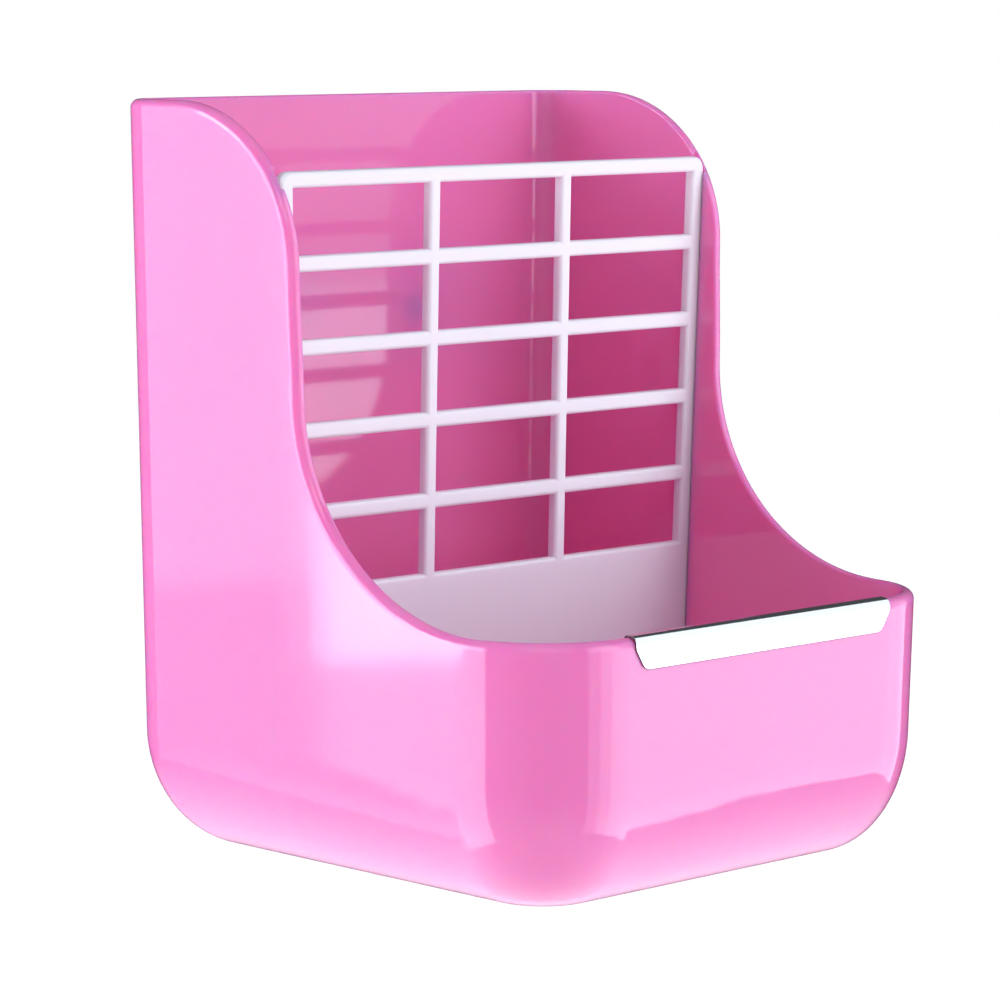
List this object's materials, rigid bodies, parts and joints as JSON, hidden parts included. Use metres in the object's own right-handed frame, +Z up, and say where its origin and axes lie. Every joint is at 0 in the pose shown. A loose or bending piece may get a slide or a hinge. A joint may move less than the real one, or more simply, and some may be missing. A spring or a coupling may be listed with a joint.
{
  "type": "hay feeder box",
  "caption": "Open-topped hay feeder box: a lift-out barred grid parts the tall hay bay from the low front tray, with a steel chew guard on the rim and screw clamps for a cage wall.",
  "frame": {"origin": "middle of the flat underside, halfway between the front face at rim height and the back face", "axes": "+Z up, +Y out of the back face towards the cage wall, +X to the right seen from the front"},
  "size_m": [0.14, 0.1685, 0.1723],
  "materials": {
    "pink_plastic": "high gloss",
    "white_plastic": "gloss",
    "guard_steel": "bright polished",
    "stud_steel": "zinc plated",
    "clamp_plastic": "satin"
  },
  "bodies": {
    "box": {"feeder_box": "pink_plastic", "rim_guard": "guard_steel", "left_stud": "stud_steel", "right_stud": "stud_steel"},
    "grid": {"hay_grid": "white_plastic"},
    "left_clamp": {"left_clamp_plate": "clamp_plastic"},
    "left_nut": {"left_wing_nut": "clamp_plastic"},
    "right_clamp": {"right_clamp_plate": "clamp_plastic"},
    "right_nut": {"right_wing_nut": "clamp_plastic"}
  },
  "joints": [
    {"name": "grid_lift", "type": "slide", "parent": "box", "child": "grid", "axis": [0, -0.0255, 0.9997], "range_m": [0, 0.17]},
    {"name": "left_clamp_travel", "type": "slide", "parent": "box", "child": "left_clamp", "axis": [0, 1, 0], "range_m": [0, 0.01]},
    {"name": "left_nut_turn", "type": "hinge", "parent": "left_clamp", "child": "left_nut", "pos_m": [-0.022, 0.083, 0.12], "axis": [0, 1, 0], "range_deg": [0, 3600]},
    {"name": "right_clamp_travel", "type": "slide", "parent": "box", "child": "right_clamp", "axis": [0, 1, 0], "range_m": [0, 0.01]},
    {"name": "right_nut_turn", "type": "hinge", "parent": "right_clamp", "child": "right_nut", "pos_m": [0.022, 0.083, 0.12], "axis": [0, 1, 0], "range_deg": [0, 3600]}
  ],
  "couplings": [
    {"joint": "left_nut_turn", "follows": "left_clamp_travel", "rad_per_m": 6283.2},
    {"joint": "right_nut_turn", "follows": "right_clamp_travel", "rad_per_m": 6283.2}
  ]
}
